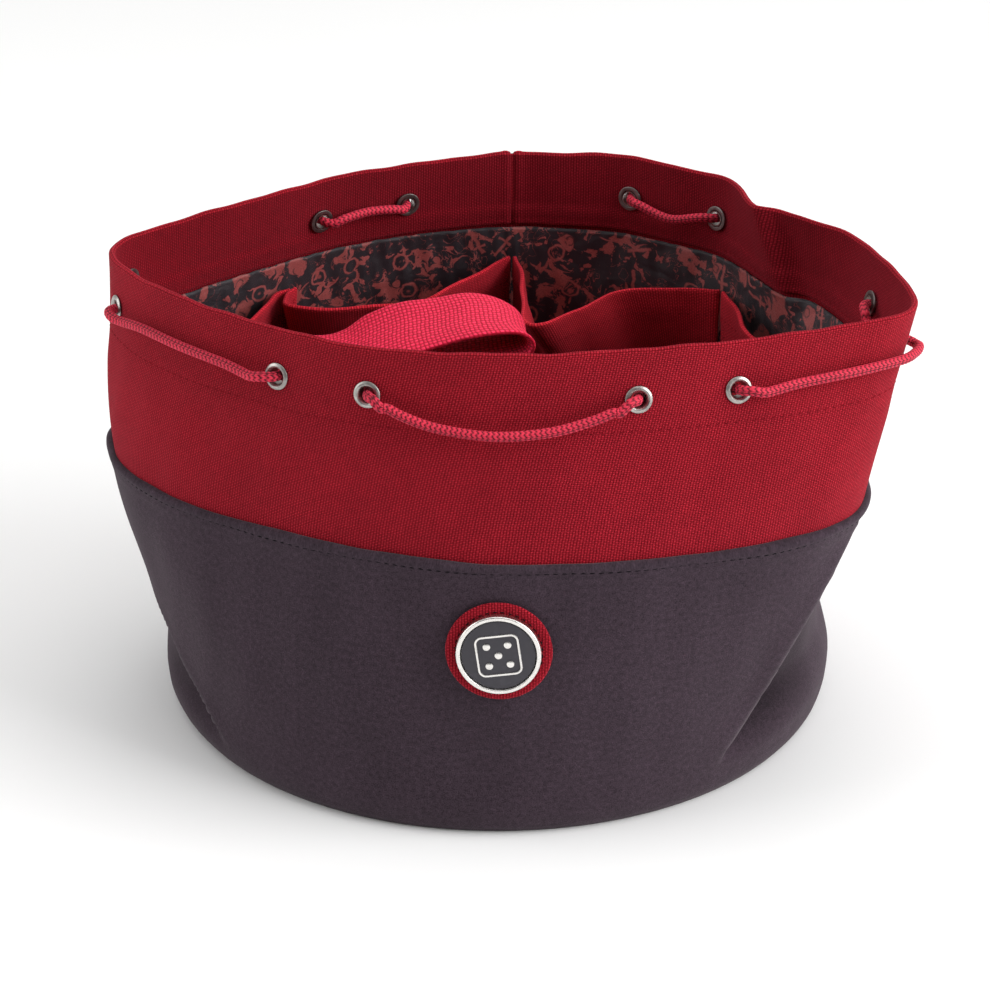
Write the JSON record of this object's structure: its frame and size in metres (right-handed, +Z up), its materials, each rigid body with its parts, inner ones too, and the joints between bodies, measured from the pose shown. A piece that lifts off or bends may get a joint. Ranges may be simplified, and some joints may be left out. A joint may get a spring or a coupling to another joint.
{
  "type": "drawstring dice bag",
  "caption": "Round-bottomed drawstring dice bag standing open, red canvas over dark suede, with a printed lining, inner pockets, a webbing strap and a round badge.",
  "frame": {"origin": "centre of the floor's underside", "axes": "+Z up, front of the bag (badge side) towards -Y, +X to the right seen from the front"},
  "size_m": [0.2714, 0.2421, 0.1659],
  "materials": {
    "canvas": "plain-woven cotton canvas",
    "suede": "brushed microsuede",
    "lining": "shiny printed lining",
    "board": "stiffening board",
    "cord": "round braided cord",
    "webbing": "flat webbing",
    "eyelet_metal": "antique nickel plate",
    "badge_metal": "bright nickel plate",
    "badge_enamel": "dark enamel infill",
    "lock_plastic": "moulded black plastic",
    "spring_steel": "plain spring wire"
  },
  "bodies": {
    "bag": {"base_panel": "suede", "base_board": "board", "suede_band": "suede", "canvas_upper": "canvas", "lining_wall": "lining", "lining_base": "lining", "pocket_panel_1": "canvas", "pocket_panel_2": "canvas", "pocket_panel_3": "canvas", "pocket_panel_4": "canvas", "pocket_panel_5": "canvas", "pocket_panel_6": "canvas", "pocket_panel_7": "canvas", "pocket_panel_8": "canvas", "eyelet_01": "eyelet_metal", "eyelet_02": "eyelet_metal", "eyelet_03": "eyelet_metal", "eyelet_04": "eyelet_metal", "eyelet_05": "eyelet_metal", "eyelet_06": "eyelet_metal", "eyelet_07": "eyelet_metal", "eyelet_08": "eyelet_metal", "eyelet_09": "eyelet_metal", "eyelet_10": "eyelet_metal", "eyelet_11": "eyelet_metal", "eyelet_12": "eyelet_metal", "eyelet_washer_01": "eyelet_metal", "eyelet_washer_02": "eyelet_metal", "eyelet_washer_03": "eyelet_metal", "eyelet_washer_04": "eyelet_metal", "eyelet_washer_05": "eyelet_metal", "eyelet_washer_06": "eyelet_metal", "eyelet_washer_07": "eyelet_metal", "eyelet_washer_08": "eyelet_metal", "eyelet_washer_09": "eyelet_metal", "eyelet_washer_10": "eyelet_metal", "eyelet_washer_11": "eyelet_metal", "eyelet_washer_12": "eyelet_metal", "drawstring_left": "cord", "drawstring_right": "cord", "drawstring_knot_left": "cord", "drawstring_knot_right": "cord", "strap_root": "webbing", "badge_patch": "canvas", "badge_medallion": "badge_metal", "badge_infill": "badge_enamel"},
    "front_run": {"drawstring_front_run": "cord"},
    "strap": {"strap_loop": "webbing"},
    "cord_lock": {"cord_lock_body": "lock_plastic", "cord_lock_spring": "spring_steel"},
    "lock_button": {"cord_lock_button": "lock_plastic"}
  },
  "joints": [
    {"name": "front_run_lift", "type": "hinge", "parent": "bag", "child": "front_run", "pos_m": [0.0005, -0.1072, 0.1485], "axis": [-0.9988, 0.0494, 0], "range_deg": [0, 110]},
    {"name": "strap_lift", "type": "hinge", "parent": "bag", "child": "strap", "pos_m": [-0.12003, -0.01549, 0.13], "axis": [-0.139, -0.9903, 0], "range_deg": [0, 68]},
    {"name": "cord_lock_slide", "type": "slide", "parent": "bag", "child": "cord_lock", "axis": [0.0138, 0.1912, -0.9815], "range_m": [0, 0.024]},
    {"name": "cord_lock_press", "type": "slide", "parent": "cord_lock", "child": "lock_button", "axis": [-0.9999, 0.0027, -0.0136], "range_m": [0, 0.0035], "stiffness_N_per_m": 400, "springref_m": -0.002, "deforming": ["cord_lock_spring"]}
  ]
}
